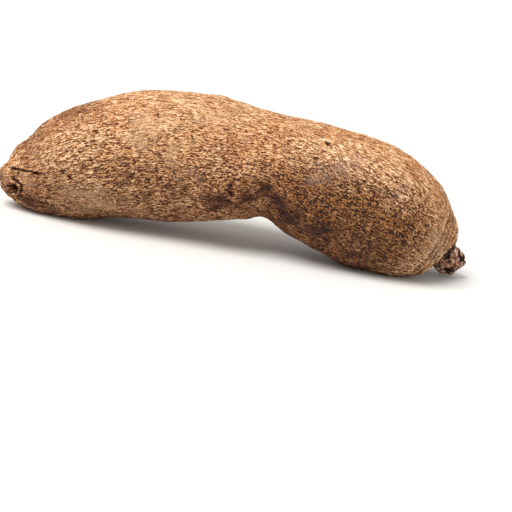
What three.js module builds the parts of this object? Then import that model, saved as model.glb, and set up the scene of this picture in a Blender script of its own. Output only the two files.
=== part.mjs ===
// A whole yam (Dioscorea), as dug: one thick corky tuber with a blunt withered tip at its -X end and
// the woody stump of the crown, where the vine grew, at its +X end. It grew as one piece, so it is one
// solid. It lies on two small flats: one under the cheek near the tip and one under the crown lobe.
// Units are millimetres. +X runs along the tuber from tip to crown, +Z is up, and the origin is the
// centre of the footprint, on the surface that the tuber lies on.
import * as THREE from "three";

// The tuber is a chain of sections square to its bent axis. Each row is one section's centre
// (x, y, z above the surface) and its half-height and half-depth.
const SECTIONS = [
  [-157, -9, 21, 0, 0], // tip
  [-156, -8.5, 21, 6.5, 7],
  [-152, -7.5, 20.5, 12.5, 12.5],
  [-144.5, -5, 21, 19.6, 19.5],
  [-131, -2, 24, 27.2, 28.5],
  [-113, 0, 32, 36, 36.5], // cheek
  [-88, 1, 42, 40.5, 41.5],
  [-55, 2, 50, 43.5, 43.5], // belly, the thickest place
  [-20, 2, 53.5, 41.5, 42],
  [13, 1, 55.5, 37.5, 39], // waist
  [41, 0, 53, 39, 40],
  [69, -1, 47, 41, 42],
  [94, -1, 41, 42.5, 43], // crown lobe
  [114, 1, 33.5, 38.4, 39.5],
  [128, 4, 28, 32, 33],
  [138, 7, 24, 22.5, 23],
  [143.5, 9, 19.5, 13, 13.5], // neck, where the stump leaves the lobe
  [147.5, 10, 15, 10, 10.5],
  [153, 11, 11.5, 9.5, 9.5], // crown stump
  [158.5, 12, 8, 7, 7],
  [161, 12.5, 6.5, 0, 0],
];

// Swellings (+) and hollows (-) of the skin: where along X and round the section (0 top, 90 front,
// 180 bottom, 270 back, in degrees), how high, and how far they spread along X and round the section.
const SWELLINGS = [
  { x: 25, angle: 150, height: -5, spreadX: 8, spreadAngle: 42 }, // crease across the waist
  { x: 50, angle: 112, height: 2, spreadX: 15, spreadAngle: 34 }, // lobe's shoulder beside the crease
  { x: -78, angle: 62, height: -1.6, spreadX: 26, spreadAngle: 24 },
  { x: -20, angle: 100, height: 1.2, spreadX: 24, spreadAngle: 30 },
  { x: -35, angle: 285, height: 3, spreadX: 34, spreadAngle: 36 }, // fuller back
  { x: 60, angle: 250, height: -2.5, spreadX: 20, spreadAngle: 30 },
];

// Gentle waves over the whole tuber: waves round the section, length along X and height.
const WAVES = [
  { round: 2, length: 118, height: 0.7, phase: 3.4 },
  { round: -3, length: 71, height: 0.5, phase: 2.1 },
  { round: 5, length: 47, height: 0.3, phase: 4.0 },
];

// The stump is knobbly: waves that grow in over its length.
const STUMP = { from: 140, over: 6, knob: 0.9, round: 5, length: 9 };

const RINGS = 80;
const SEGMENTS = 36;
const FRONT = new THREE.Vector3(0, -1, 0);

const centres = new THREE.CatmullRomCurve3(
  SECTIONS.map(([x, y, z]) => new THREE.Vector3(x, y, z)),
  false,
  "catmullrom",
);
const halves = new THREE.CatmullRomCurve3(
  SECTIONS.map(([, , , height, depth]) => new THREE.Vector3(height, depth, 0)),
  false,
  "catmullrom",
);

// How far the skin stands off the plain section at x and at an angle in radians.
function relief(x, angle) {
  let off = 0;
  for (const s of SWELLINGS) {
    const away = THREE.MathUtils.radToDeg(angle) - s.angle;
    const round = THREE.MathUtils.euclideanModulo(away + 180, 360) - 180;
    const reach = ((x - s.x) / s.spreadX) ** 2 + (round / s.spreadAngle) ** 2;
    off += s.height * Math.exp(-reach / 2);
  }
  for (const w of WAVES) {
    off += w.height * Math.sin(w.round * angle + (2 * Math.PI * x) / w.length + w.phase);
  }
  const woody = THREE.MathUtils.smoothstep(x, STUMP.from, STUMP.from + STUMP.over);
  const knob = Math.sin(STUMP.round * angle + (2 * Math.PI * x) / STUMP.length);
  return off * (1 - woody) + STUMP.knob * woody * knob;
}

// A point of the skin: along runs from 0 at the tip to 1 at the end of the stump.
function skin(along, angle) {
  const centre = centres.getPoint(along);
  const half = halves.getPoint(along);
  const axis = centres.getTangent(along);
  const front = FRONT.clone().addScaledVector(axis, -FRONT.dot(axis)).normalize();
  const up = new THREE.Vector3().crossVectors(front, axis);
  // The relief dies away with the section, so that both ends close.
  const height = Math.max(half.x, 0);
  const depth = Math.max(half.y, 0);
  const off = relief(centre.x, angle) * Math.min(height / 10, 1);
  return centre
    .addScaledVector(up, (height + off) * Math.cos(angle))
    .addScaledVector(front, (depth + off) * Math.sin(angle));
}

// The closed skin: a point at each end, and rings of points between them.
function tuberGeometry() {
  const points = [skin(0, 0)];
  for (let ring = 1; ring < RINGS; ring++) {
    for (let k = 0; k < SEGMENTS; k++) {
      points.push(skin(ring / RINGS, (2 * Math.PI * k) / SEGMENTS));
    }
  }
  points.push(skin(1, 0));
  for (const point of points) point.z = Math.max(point.z, 0); // the flats that it lies on

  const last = points.length - 1;
  const faces = [];
  for (let k = 0; k < SEGMENTS; k++) {
    const next = (k + 1) % SEGMENTS;
    faces.push(0, 1 + next, 1 + k);
    faces.push(last, last - SEGMENTS + k, last - SEGMENTS + next);
    for (let ring = 0; ring < RINGS - 2; ring++) {
      const near = 1 + ring * SEGMENTS;
      const far = near + SEGMENTS;
      faces.push(near + k, near + next, far + next, near + k, far + next, far + k);
    }
  }

  const geometry = new THREE.BufferGeometry().setFromPoints(points).setIndex(faces);
  geometry.computeVertexNormals();
  geometry.computeBoundingBox();
  const middle = geometry.boundingBox.getCenter(new THREE.Vector3());
  return geometry.translate(-middle.x, -middle.y, 0);
}

const corkySkin = new THREE.MeshStandardMaterial({ color: 0xa87a52, roughness: 0.9, metalness: 0 });

const yam = new THREE.Mesh(tuberGeometry(), corkySkin);
yam.name = "yam_tuber";

const part = new THREE.Group();
part.name = "yam";
part.add(yam);

export default part;
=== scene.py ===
# A whole yam, as dug, lying on a plain pale floor.
import math

import bpy
import numpy as np
from mathutils import Matrix, Vector, noise


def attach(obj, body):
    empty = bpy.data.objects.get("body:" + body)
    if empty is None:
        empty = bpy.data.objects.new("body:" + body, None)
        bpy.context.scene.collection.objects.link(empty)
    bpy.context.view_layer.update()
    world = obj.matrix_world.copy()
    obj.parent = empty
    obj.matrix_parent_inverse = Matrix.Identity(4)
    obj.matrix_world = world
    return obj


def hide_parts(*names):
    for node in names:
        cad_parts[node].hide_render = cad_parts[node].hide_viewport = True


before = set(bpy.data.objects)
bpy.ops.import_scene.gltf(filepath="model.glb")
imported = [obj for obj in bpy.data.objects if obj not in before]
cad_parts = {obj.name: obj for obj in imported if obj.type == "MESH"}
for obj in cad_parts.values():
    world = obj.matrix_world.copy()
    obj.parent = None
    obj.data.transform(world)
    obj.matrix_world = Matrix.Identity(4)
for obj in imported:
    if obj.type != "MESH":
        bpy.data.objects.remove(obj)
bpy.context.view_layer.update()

# ---- The tuber -------------------------------------------------------------------------------------
# One thick root tuber, grown as a single body of starchy flesh inside a dry corky skin. It is blunt
# and withered at the -X end, and at the +X end it keeps the woody stump that the vine grew from.

# Sections along the bent axis, in millimetres: centre x, y, z, half-height and half-depth.
SECTIONS = np.array([
    (-157, -9, 21, 0, 0),  # tip
    (-156, -8.5, 21, 6.5, 7),
    (-152, -7.5, 20.5, 12.5, 12.5),
    (-144.5, -5, 21, 19.6, 19.5),
    (-131, -2, 24, 27.2, 28.5),
    (-113, 0, 32, 36, 36.5),  # cheek
    (-88, 1, 42, 40.5, 41.5),
    (-55, 2, 50, 43.5, 43.5),  # belly
    (-20, 2, 53.5, 41.5, 42),
    (13, 1, 55.5, 37.5, 39),  # waist
    (41, 0, 53, 39, 40),
    (69, -1, 47, 41, 42),
    (94, -1, 41, 42.5, 43),  # crown lobe
    (114, 1, 33.5, 38.4, 39.5),
    (128, 4, 28, 32, 33),
    (138, 7, 24, 22.5, 23),
    (143.5, 9, 19.5, 13, 13.5),  # neck
    (147.5, 10, 15, 10, 10.5),
    (153, 11, 11.5, 9.5, 9.5),  # stump
    (158.5, 12, 8, 7, 7),
    (161, 12.5, 6.5, 0, 0),
])
# Broad swellings and hollows: x, angle (0 top, 90 front), height, reach along x, reach in degrees.
SWELLINGS = (
    (25, 150, -5, 8, 42),  # crease across the waist
    (50, 112, 2, 15, 34),
    (-78, 62, -1.6, 26, 24),
    (-20, 100, 1.2, 24, 30),
    (-35, 285, 3, 34, 36),
    (60, 250, -2.5, 20, 30),
)
# Gentle waves: waves round the section, length along x, height and phase.
WAVES = ((2, 118, 0.7, 3.4), (-3, 71, 0.5, 2.1), (5, 47, 0.3, 4.0))
MM_IN_A_METRE = 1000
NECK = 141.5  # section x where the corky skin ends and the woody stump begins
RINGS = 262
SEGMENTS = 380
FRONT = np.array((0.0, -1.0, 0.0))


def ease(value, start, end):
    """0 up to start, 1 from end, and smooth between them."""
    part = np.clip((value - start) / (end - start), 0, 1)
    return part * part * (3 - 2 * part)


def sections_at(along):
    """The section and its rate of change at each place, from 0 at the tip to 1 at the stump's end."""
    spans = len(SECTIONS) - 1
    ends = np.vstack([2 * SECTIONS[0] - SECTIONS[1], SECTIONS, 2 * SECTIONS[-1] - SECTIONS[-2]])
    span = np.clip(np.floor(along * spans).astype(int), 0, spans - 1)
    part = (along * spans - span)[..., None]
    before, start, end, after = (ends[span + step] for step in range(4))
    leave, arrive = (end - before) / 2, (after - start) / 2
    cubic = 2 * start - 2 * end + leave + arrive
    square = 3 * end - 3 * start - 2 * leave - arrive
    section = ((cubic * part + square) * part + leave) * part + start
    return section, (3 * cubic * part + 2 * square) * part + leave


def tuber(along, angle):
    """Points of the tuber's plain outside, in millimetres, before it is centred."""
    section, change = sections_at(along)
    x, half_height, half_depth = section[..., 0], section[..., 3].clip(0), section[..., 4].clip(0)
    axis = change[..., :3] / np.linalg.norm(change[..., :3], axis=-1, keepdims=True)
    front = FRONT - axis * (axis @ FRONT)[..., None]
    front /= np.linalg.norm(front, axis=-1, keepdims=True)
    up = np.cross(front, axis)
    off = sum(height * np.sin(turns * angle + 2 * np.pi * x / length + phase)
              for turns, length, height, phase in WAVES)
    for place, direction, height, reach, spread in SWELLINGS:
        away = (np.degrees(angle) - direction + 180) % 360 - 180
        off = off + height * np.exp(-(((x - place) / reach) ** 2 + (away / spread) ** 2) / 2)
    off = off * (1 - ease(x, 140, 146)) * (half_height / 10).clip(0, 1)
    return (section[..., :3] + up * ((half_height + off) * np.cos(angle))[..., None]
            + front * ((half_depth + off) * np.sin(angle))[..., None])


# The rings stand closer together at both ends, where the tuber has its smallest features.
steps = np.linspace(0, 1, 4001)
quarters = np.pi / 2 * np.arange(4)
profile = tuber(*np.meshgrid(steps, quarters, indexing="ij"))
step_length = np.linalg.norm(np.diff(profile, axis=0), axis=-1).mean(1)
travelled = np.concatenate([[0], np.cumsum(step_length)])
from_tip, to_end = travelled, travelled[-1] - travelled
crowding = 1 + 1.6 * (1 - ease(from_tip, 25, 55)) + 2.2 * (1 - ease(to_end, 30, 55))
crowded = np.concatenate([[0], np.cumsum(step_length * crowding[1:])])
rings = np.interp(np.linspace(0, 1, RINGS + 1), crowded / crowded[-1], steps)
along, angle = np.meshgrid(rings, 2 * np.pi * np.arange(SEGMENTS) / SEGMENTS, indexing="ij")
plain = tuber(along, angle)
x = sections_at(along)[0][..., 0]
degrees = np.degrees(angle)

# Unit normals, pointing out.
down_the_ring = np.gradient(plain, axis=0)
round_the_ring = np.roll(plain, -1, 1) - np.roll(plain, 1, 1)
outward = np.cross(round_the_ring, down_the_ring)
outward /= np.linalg.norm(outward, axis=-1, keepdims=True) + 1e-9
outward[0], outward[-1] = (-1, 0, 0), (1, 0, 0)

# The grain runs along the tuber. Its own coordinates are the way along the skin and a place round a
# cylinder, so that it closes on itself; three girths keep its width where the tuber narrows.
lengths = np.linalg.norm(np.diff(plain, axis=0), axis=-1)
way = np.vstack([np.zeros(SEGMENTS), np.cumsum(lengths, axis=0)])
girth = np.linalg.norm(round_the_ring, axis=-1) / (2 * np.sin(2 * np.pi / SEGMENTS))


def lumps(points, size, seed):
    """Smooth noise from about -1 to 1 at each point, with lumps of size: one number or one an axis."""
    places = (points / np.asarray(size) + seed * 17.3).reshape(-1, 3)
    return np.fromiter(map(noise.noise, places.tolist()), float, len(places)).reshape(points.shape[:-1])


def along_grain(length, width, seed):
    """Noise drawn out along the tuber, of one length and width wherever it is."""
    total, weights = 0, 0
    for radius in (42, 21, 10):
        weight = (1 - abs(np.log2(girth.clip(8, 42) / radius))).clip(0, 1)
        rolled = np.stack([way, radius * np.cos(angle), radius * np.sin(angle)], axis=-1)
        used = weight > 0
        value = np.zeros(weight.shape)
        value[used] = lumps(rolled[used], (length, width, width), seed + radius)
        total, weights = total + weight * value, weights + weight ** 2
    return total / np.sqrt(weights)


def skin_point(place, direction):
    """The point of the plain outside at section x and angle in degrees."""
    centre_line = sections_at(steps)[0][:, 0]
    return tuber(np.interp(place, centre_line, steps), np.radians(direction))


def distance_from(path):
    """How far each point of the skin is from a path of (x, degrees) places on it."""
    corners = [skin_point(*place) for place in path]
    nearest = np.linalg.norm(plain - corners[0], axis=-1)
    for start, end in zip(corners, corners[1:]):
        run = end - start
        part = ((plain - start) @ run / (run @ run)).clip(0, 1)
        nearest = np.minimum(nearest, np.linalg.norm(plain - start - part[..., None] * run, axis=-1))
    return nearest


# Relief of the corky skin, in millimetres: slow lumps, ropes of grain, and flakes with gaps between.
wood = ease(x, NECK, NECK + 3)
flakes = along_grain(5.2, 1.7, 1) + 0.7 * along_grain(2.6, 1.0, 2)
ropes = along_grain(20, 4, 3)
slow = lumps(plain, 40, 4)
rough = lumps(plain, 10, 5) + 0.7 * lumps(plain, 4.5, 7)
smoother = ease(degrees, 92, 112) * (1 - ease(degrees, 150, 175)) * (1 - ease(x, -70, -20))
flake = ease(flakes + 0.3 * ropes, -0.7, 0.7)
relief = 0.5 * slow + 0.5 * rough + 0.3 * ropes + (0.5 - 0.1 * smoother) * (flake - 0.5)

# Warts and eyes of the skin, scattered all round.
scatter = np.random.default_rng(7)
gaps = np.zeros(plain.shape[:-1])  # 1 in dark cracks and holes, 0 on sound skin
for kind, count, height, radius in (("wart", 190, 0.8, 1.3), ("eye", 18, -1.0, 1.2)):
    for place, direction in zip(scatter.uniform(-148, 132, count), scatter.uniform(0, 360, count)):
        size = scatter.uniform(0.6, 1.2)
        near = np.exp(-(distance_from(((place, direction),)) / (radius * size)) ** 2)
        relief = relief + height * size * near
        if kind == "eye":
            gaps = np.maximum(gaps, 0.6 * near)

# Eyes and pits that stand out: x, degrees, radius and depth.
PITS = (
    (-151.5, 52, 1.5, 1.6),
    (-149.6, 110, 2.9, 3.8),  # the hole where a feeder root has rotted out of the tip
    (-113, 85, 1.4, 1.3),
    (-109, 92, 1.6, 1.2),
    (-86, 83, 1.1, 0.9),
    (-89, 51, 1.2, 0.9),
    (49, 37, 1.7, 1.0),
    (45, 58, 1.2, 0.9),
)
for place, direction, radius, depth in PITS:
    apart = distance_from(((place, direction),)) + 0.5 * lumps(plain, 2.2, 9)
    near = np.exp(-(apart / radius) ** 4)
    relief = relief - depth * near + 0.35 * depth * np.exp(-((apart - 1.7 * radius) / radius * 2) ** 2)
    gaps = np.maximum(gaps, (1.0 if radius > 1.4 else 0.7) * near)

# Cracks: half-width, depth, raised lip, darkness, and the path as (x, degrees) places.
CRACKS = (
    # the drying fissure across the tip, and its feathered end
    (0.7, 1.7, 0.9, 1.0, ((-151, 55), (-148, 61), (-144.3, 67), (-140, 71), (-137, 73), (-131, 78))),
    (0.5, 0.8, 0.3, 0.7, ((-131, 78), (-127, 80), (-125, 87))),
    (0.4, 0.5, 0.2, 0.5, ((-127, 80), (-122, 82), (-118, 90))),
    # the groove that sets the withered knob off from the flesh, sharp in front and soft behind
    (0.6, 0.8, 0.4, 0.6, ((-144.5, 66), (-148, 69), (-149.4, 77), (-150.6, 84))),
    (0.7, 1.4, 0.9, 0.7, ((-150.6, 84), (-148.2, 90), (-145.4, 97), (-144.6, 105), (-145.5, 113))),
    (1.8, 1.0, 0.3, 0.3, ((-153, -50), (-152, -80), (-151, -120), (-149, -160), (-149, -210))),
    # a hooked cut in the skin
    (0.95, 1.1, 0.4, 1.0, ((-0.6, 98.3), (-3.4, 105.5), (1.0, 111.2))),
    # fine folds under the cheek
    (0.6, 0.5, 0.4, 0.4, ((-146, 122), (-141, 130), (-135, 133), (-128, 134))),
    (0.5, 0.5, 0.3, 0.35, ((-143, 112), (-138, 120), (-131, 124), (-122, 127))),
)
for half_width, depth, lip, darkness, path in CRACKS:
    apart = distance_from(path) + 0.7 * lumps(plain, 3, 6)
    near = np.exp(-(apart.clip(0) / half_width) ** 2)
    relief = relief - depth * near + lip * np.exp(-((apart - 2.2 * half_width) / half_width) ** 2)
    gaps = np.maximum(gaps, darkness * near)

# Growth folds stand round the neck like the lips of a drawn purse: how far before it, height, width.
FOLDS = ((4, 0.8, 1.1), (9.5, 1.1, 1.2), (14.5, 1.2, 1.2), (20, 0.9, 1.3), (26, 0.4, 1.4))
neck_row = np.argmin(abs(x[:, 0] - NECK))
before_neck = way[neck_row] - way + 1.5 * lumps(plain, 14, 8)
crests = np.zeros(plain.shape[:-1])
fold_shows = 0.4 + 0.6 * ease(degrees, 20, 60) * (1 - ease(degrees, 130, 170))
fold_shows = fold_shows * (0.8 + 0.8 * lumps(plain, 11, 33)).clip(0.25, 1)
for distance, height, width in FOLDS:
    fold = np.exp(-((before_neck - distance) / width) ** 2)
    dip = np.exp(-((before_neck - distance + 2 * width) / width) ** 2)
    relief = relief + 1.2 * height * fold_shows * (fold - 0.9 * dip)
    gaps = np.maximum(gaps, 0.75 * fold_shows * dip)
    crests = np.maximum(crests, fold_shows * fold)

# The stump is a clump of dead vine wood: ragged hard knobs with deep cavities between them.
ragged = plain + 1.6 * np.stack([lumps(plain, 4, 20 + i) for i in range(3)], axis=-1)
hollows = lumps(ragged, 5.2, 11) + 0.55 * lumps(ragged, 2.4, 12)
knobs = 2.6 * lumps(ragged, 6.5, 13) + 1.8 * hollows.clip(-0.5, 0.4)
cavities = 1 - ease(hollows, -0.42, -0.08)
gaps = gaps * (1 - wood) + wood * cavities
# The skin is painted darker in a ring round the neck.
gaps = np.maximum(gaps, 0.8 * ease(x, 139.5, 142.5) * (1 - ease(x, 143.5, 146)))
relief = relief * (1 - wood) + (knobs - 1.2 * cavities) * wood

skin = plain + outward * (relief * (girth / 6).clip(0, 1))[..., None]
skin[..., 2] = skin[..., 2].clip(0)
middle = (skin.reshape(-1, 3).min(0) + skin.reshape(-1, 3).max(0)) / 2
middle[2] = 0
points = (np.concatenate([skin[0, :1], skin[1:-1].reshape(-1, 3), skin[-1, :1]]) - middle) / MM_IN_A_METRE

last = len(points) - 1
ring_start = 1 + SEGMENTS * np.arange(RINGS - 2)[:, None]
here = np.arange(SEGMENTS)
following = (here + 1) % SEGMENTS
walls = np.stack([ring_start + here, ring_start + following,
                  ring_start + SEGMENTS + following, ring_start + SEGMENTS + here], axis=-1)
faces = walls.reshape(-1, 4).tolist()
faces += [(0, 1 + b, 1 + a) for a, b in zip(here.tolist(), following.tolist())]
end_ring = last - SEGMENTS
faces += [(last, end_ring + a, end_ring + b) for a, b in zip(here.tolist(), following.tolist())]

mesh = bpy.data.meshes.new("yam_skin")
mesh.from_pydata(points.tolist(), [], faces)
mesh.shade_smooth()
yam = bpy.data.objects.new("yam_skin", mesh)
bpy.context.scene.collection.objects.link(yam)


def keep(name, values):
    """Keeps one number, or one vector, a point on the mesh for the material to read."""
    flat = np.concatenate([values[0, :1], values[1:-1].reshape(-1, *values.shape[2:]), values[-1, :1]])
    kind, field = ("FLOAT_VECTOR", "vector") if values.ndim == 3 else ("FLOAT", "value")
    mesh.attributes.new(name, kind, "POINT").data.foreach_set(field, flat.ravel().astype(np.float32))


def patches(places):
    """A mask of soft-edged patches: (x, degrees, reach in millimetres, strength)."""
    mask = np.zeros(plain.shape[:-1])
    for place, direction, reach, strength in places:
        near = np.exp(-(distance_from(((place, direction),)) / reach) ** 2)
        mask = np.maximum(mask, strength * near)
    return mask


keep("flake", flake)
keep("gaps", gaps)
keep("crests", crests)
keep("wood", wood)
keep("narrow", 1 - ease(girth, 14, 30))
# Slow patches of warmer, redder skin.
keep("warm", np.maximum(ease(lumps(plain, 42, 31) + 0.5 * lumps(plain, 20, 32), -0.6, 0.6),
                        patches(((-105, 15, 24, 1.0), (-118, 35, 14, 0.9)))))
# The low front flank is painted darker and browner, most of all on the crown lobe: painted shade.
# Two patches on top near the tip are darkened with it.
shade_edge = degrees + 20 * ease(x, 15, 60)
painted_shade = (ease(shade_edge, 58, 106) * (1 - ease(degrees, 200, 262)) * (0.5 + 0.5 * ease(x, 5, 45))
        * (1 - 0.75 * ease(x, 108, 126)))
painted_shade = np.maximum(painted_shade, patches(((-128, 8, 20, 0.6), (-102, 8, 22, 0.55))))
keep("painted_shade", painted_shade)
# The upper side is worn smoothest. The flank in painted shade is made the grainiest, with pale flakes
# on dark.
from_top = np.minimum(degrees, 360 - degrees)
keep("granular", 0.6 + 0.35 * ease(from_top, 20, 65) + 1.1 * painted_shade)
keep("wrinkled", 0.74 + 0.3 * ease(from_top, 20, 70) + 0.3 * painted_shade)
# Purple-brown places: damp, bruised and rubbed skin, and partly painted shade on the low front of the
# waist.
keep("stain_and_shade", patches((
    (-7, 114, 7, 0.9), (-13, 123, 8, 0.7), (10, 116, 9, 0.85), (21, 108, 9, 0.8), (31, 112, 11, 0.75),
    (44, 123, 10, 0.9), (66, 122, 15, 0.7), (90, 118, 17, 0.5), (-3, 104, 4, 0.6),
    (-140, 128, 9, 0.7), (-131, 136, 9, 0.6), (-81, 109, 11, 0.45), (-60, 114, 12, 0.3),
    (-148, 110, 6, 0.5), (150, 250, 20, 0.4), (60, 240, 24, 0.5), (-90, 250, 20, 0.4),
)))
# Dry greyish bloom.
keep("bloom", patches((
    (61, 56, 11, 0.8), (70, 45, 10, 0.7), (50, 72, 13, 0.7), (98, 60, 16, 0.5), (-24, 98, 12, 0.5),
    (-70, 40, 12, 0.4), (-138, 90, 9, 0.2), (0, 200, 30, 0.5), (-70, 300, 26, 0.5),
    (90, 300, 22, 0.4),
)))
# Pale straw-coloured skin: rubbed skin, and a painted highlight high on the front of the belly.
keep("straw_and_highlight", patches((
    (-56, 58, 20, 0.8), (-38, 76, 16, 0.6), (-95, 119, 20, 0.7), (-112, 108, 15, 0.5),
    (-20, 40, 25, 0.5), (-143, 88, 9, 0.6), (128, 78, 16, 0.7), (-10, 300, 30, 0.5), (70, 330, 26, 0.5),
)))
# Two small spots of green-black mould.
keep("mould", patches(((134.6, 33, 2.4, 1.0), (137, 40, 1.8, 0.8))))
# Each point's place on a cylinder, a wide one and a narrow one: the way along the grain, and round it.
CYLINDERS = {"grain_wide": 42, "grain_narrow": 15}
for name, radius in CYLINDERS.items():
    keep(name, np.stack([way, radius * np.cos(angle), radius * np.sin(angle)], axis=-1))

# Corky periderm: dry, dead and matt, split into flakes along the tuber, pale on top and dark between.
cork = bpy.data.materials.new("corky_yam_skin")
cork.use_nodes = True
cork.node_tree.nodes.clear()


def paint(code):
    """A linear colour from an sRGB hex code."""
    parts = [int(code[i:i + 2], 16) / 255 for i in (1, 3, 5)]
    return [p / 12.92 if p <= 0.04045 else ((p + 0.055) / 1.055) ** 2.4 for p in parts] + [1]


def add(kind, inputs=None, out=0, stops=(), **settings):
    """Adds a node with its settings, a ramp's stops and its inputs, and gives the output named."""
    made = cork.node_tree.nodes.new(kind)
    for name, value in settings.items():
        setattr(made, name, value)
    for i, (position, code) in enumerate(stops):
        ramp = made.color_ramp.elements
        stop = ramp[i] if i < len(ramp) else ramp.new(position)
        stop.position, stop.color = position, paint(code)
    for name, value in (inputs or {}).items():
        if isinstance(value, bpy.types.NodeSocket):
            cork.node_tree.links.new(value, made.inputs[name])
        else:
            made.inputs[name].default_value = value
    return made.outputs[out] if made.outputs else made


read = {name: add("ShaderNodeAttribute", out="Fac", attribute_name=name)
        for name in ("flake", "gaps", "crests", "wood", "narrow", "warm", "granular", "wrinkled",
                     "painted_shade", "stain_and_shade", "bloom", "straw_and_highlight", "mould")}

# Noise drawn out along the grain: one streak's length and width in millimetres, detail and bend. The
# real skin's finest flakes are a third of a millimetre wide, too fine to show, so they are coarser.
grain = {}
for name, length, width, detail, bend in (
    ("dashes", 3.4, 0.95, 1.5, 0.6),
    ("wrinkles", 7.5, 2.0, 1.0, 0.6),
    ("fine wrinkles", 4.4, 1.2, 1.0, 0.6),
    ("ropes", 14, 2.6, 2.0, 0.0),
    ("granules", 2.3, 1.15, 2.0, 0.4),
    ("grit", 1.3, 0.62, 1.0, 0.0),
):
    rolled_out = [
        add("ShaderNodeTexNoise", {
            "Vector": add("ShaderNodeVectorMath", {
                0: add("ShaderNodeAttribute", out="Vector", attribute_name=cylinder),
                1: (1 / length, 1 / width, 1 / width)}, operation="MULTIPLY"),
            "Scale": 1.0, "Detail": detail, "Roughness": 0.6, "Distortion": bend})
        for cylinder in CYLINDERS]
    grain[name] = add("ShaderNodeMix", {"Factor": read["narrow"], "A": rolled_out[0],
                                        "B": rolled_out[1]})
# A wrinkle runs where its noise crosses the middle.
for name in ("wrinkles", "fine wrinkles"):
    off_middle = add("ShaderNodeMath", {0: grain[name], 1: 0.5}, operation="SUBTRACT")
    grain[name] = add("ShaderNodeMath", {0: off_middle}, operation="ABSOLUTE")
# Even noise through the solid: size in millimetres and detail.
for name, size, detail in (("blotches", 9, 3.0), ("splinters", 2.4, 3.0)):
    grain[name] = add("ShaderNodeTexNoise", {
        "Vector": add("ShaderNodeTexCoord", out="Object"),
        "Scale": MM_IN_A_METRE / size, "Detail": detail, "Roughness": 0.6})

# How high the surface stands here, from 0 at the bottom of a gap to 1 on top of a flake. Each part
# turns its own range to the height that it adds, times how much there is of it here.
height = {}
for surface, parts in (
    ("skin", (
        (read["flake"], 0, 1, 0.56, 0.73, 1.0),
        (grain["ropes"], 0.3, 0.7, -0.08, 0.08, 1.0),
        (grain["dashes"], 0.3, 0.7, -0.42, 0.42, read["wrinkled"]),
        (grain["granules"], 0.3, 0.7, -0.2, 0.2, read["granular"]),
        (grain["grit"], 0.3, 0.7, -0.38, 0.38, read["granular"]),
        (grain["wrinkles"], 0, 0.045, -0.27, 0, read["wrinkled"]),
        (grain["fine wrinkles"], 0, 0.05, -0.26, 0, read["wrinkled"]),
        (read["crests"], 0, 1, 0, 0.4, 1.0),
        # painted shade: the low front flank is set lower, so darker
        (read["painted_shade"], 0, 1, 0, -0.17, 1.0),
        (read["gaps"], 0.1, 0.9, 0, -0.85, 1.0),
    )),
    ("wood", (
        (grain["splinters"], 0.3, 0.7, -0.1, 1.05, 1.0),
        (grain["grit"], 0.3, 0.7, -0.3, 0.3, 1.0),
        (read["gaps"], 0, 1, 0, -1, 1.0),
    )),
):
    height[surface] = 0.0
    for value, low, high, to_low, to_high, amount in parts:
        part = add("ShaderNodeMapRange", {"Value": value, "From Min": low, "From Max": high,
                                          "To Min": to_low, "To Max": to_high})
        height[surface] = add("ShaderNodeMath", {0: part, 1: amount, 2: height[surface]},
                              operation="MULTIPLY_ADD")

# Colour by height, then the patches laid over it with ragged edges: how ragged, the mask's range,
# the strength, how it is laid and the colour. The stump is dead vine wood, near black in its cavities.
wood_colour = add("ShaderNodeValToRGB", {"Fac": height["wood"]}, stops=(
    (0.0, "#1c0e09"), (0.3, "#6c3e2a"), (0.6, "#c08768"), (0.9, "#ffdfbc")))
colour = add("ShaderNodeValToRGB", {"Fac": height["skin"]}, stops=(
    (0.0, "#30180b"), (0.22, "#683a1b"), (0.42, "#9f6637"), (0.6, "#c68f5e"), (0.8, "#e4b787"),
    (1.0, "#fbdfba")))
for mask, edging, low, high, strength, laid, over in (
    ("warm", 0.0, 0.0, 1.0, 0.6, "MULTIPLY", paint("#eccfb0")),
    # painted shade: the low front flank browner and darker
    ("painted_shade", 0.3, 0.06, 1.0, 1.0, "MULTIPLY", paint("#bb9c6e")),
    # stains, and painted shade on the low front of the waist
    ("stain_and_shade", 0.35, 0.25, 0.8, 1.0, "MULTIPLY", paint("#8c6448")),
    ("bloom", 0.35, 0.35, 0.95, 0.4, "MIX", paint("#a98b7c")),
    # pale rubbed skin, and a painted highlight high on the belly
    ("straw_and_highlight", 0.35, 0.3, 0.95, 0.4, "MIX", paint("#dcb68c")),
    ("mould", 0.0, 0.0, 1.0, 1.0, "MIX", paint("#23281c")),
    ("wood", 0.0, 0.0, 1.0, 1.0, "MIX", wood_colour),
):
    edge = add("ShaderNodeMapRange", {"Value": grain["blotches"], "From Min": 0.3, "From Max": 0.7,
                                      "To Min": -edging, "To Max": edging})
    spread = add("ShaderNodeMath", {0: read[mask], 1: edge}, operation="ADD")
    factor = add("ShaderNodeMapRange", {"Value": spread, "From Min": low, "From Max": high,
                                        "To Max": strength})
    colour = add("ShaderNodeMix", {"Factor": factor, 6: colour, 7: over}, out=2,
                 data_type="RGBA", blend_type=laid)

FLAKE_THICKNESS = 0.0006  # metres
bumps = add("ShaderNodeBump", {"Height": height["skin"], "Strength": 0.8, "Distance": FLAKE_THICKNESS})
roughness = add("ShaderNodeMapRange", {"Value": height["skin"], "To Min": 0.95, "To Max": 0.72})
add("ShaderNodeOutputMaterial", {"Surface": add("ShaderNodeBsdfPrincipled", {
    "Base Color": colour, "Roughness": roughness, "IOR": 1.45, "Normal": bumps})})
mesh.materials.append(cork)

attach(yam, "root")
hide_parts("yam_tuber")

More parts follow.
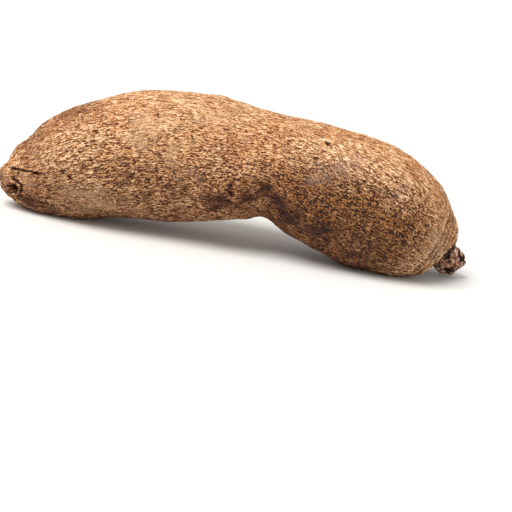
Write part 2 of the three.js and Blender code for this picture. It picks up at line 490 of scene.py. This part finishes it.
# ---- The floor -------------------------------------------------------------------------------------
# A wide sheet of matt white paper, laid flat, that the yam lies on. It reaches far past the yam on
# every side and has no texture, so that only the yam's shadow shows on it.
REACH = 30  # metres to each side
floor_mesh = bpy.data.meshes.new("floor")
floor_mesh.from_pydata([(-REACH, -REACH, 0), (REACH, -REACH, 0), (REACH, REACH, 0), (-REACH, REACH, 0)],
                       [], [(0, 1, 2, 3)])
floor = bpy.data.objects.new("floor", floor_mesh)
bpy.context.scene.collection.objects.link(floor)
white = bpy.data.materials.new("white_paper_sweep")
white.use_nodes = True
white_shader = white.node_tree.nodes["Principled BSDF"]
white_shader.inputs["Base Color"].default_value = paint("#e2e0dc")
white_shader.inputs["Roughness"].default_value = 0.9
floor_mesh.materials.append(white)

# ---- Light and camera ------------------------------------------------------------------------------
# One large soft box above, in front and to the left, so wide that shadows have soft edges, and the
# white room round it, which fills them in.
room = bpy.data.worlds.new("white_room")
room.use_nodes = True
room.node_tree.nodes["Background"].inputs["Color"].default_value = paint("#ffffff")
room.node_tree.nodes["Background"].inputs["Strength"].default_value = 0.7
bpy.context.scene.world = room
bpy.context.scene.view_settings.view_transform = "Standard"

KEY_FROM = Vector((-0.42, -0.36, 0.92))
key = bpy.data.lights.new("key_soft_box", "SUN")
key.energy = 3.2
key.angle = math.radians(38)
key_holder = bpy.data.objects.new("key_soft_box", key)
key_holder.rotation_euler = KEY_FROM.to_track_quat("Z", "Y").to_euler()
bpy.context.scene.collection.objects.link(key_holder)

LOOK_AT = Vector((0.0187, -0.0064, -0.0058))
DISTANCE = 0.967
ELEVATION = math.radians(15)
TURN = math.radians(10)  # the camera leans to its left, so that the crown hangs lower than the tip
back = Vector((0, -math.cos(ELEVATION), math.sin(ELEVATION)))
level_right = Vector((1, 0, 0))
level_up = Vector((0, math.sin(ELEVATION), math.cos(ELEVATION)))
right = level_right * math.cos(TURN) + level_up * math.sin(TURN)
up = level_up * math.cos(TURN) - level_right * math.sin(TURN)
camera_data = bpy.data.cameras.new("camera")
camera_data.lens = 100
camera = bpy.data.objects.new("camera", camera_data)
pose = Matrix((right, up, back)).transposed().to_4x4()
pose.translation = LOOK_AT + back * DISTANCE
camera.matrix_world = pose
bpy.context.scene.collection.objects.link(camera)
bpy.context.scene.camera = camera
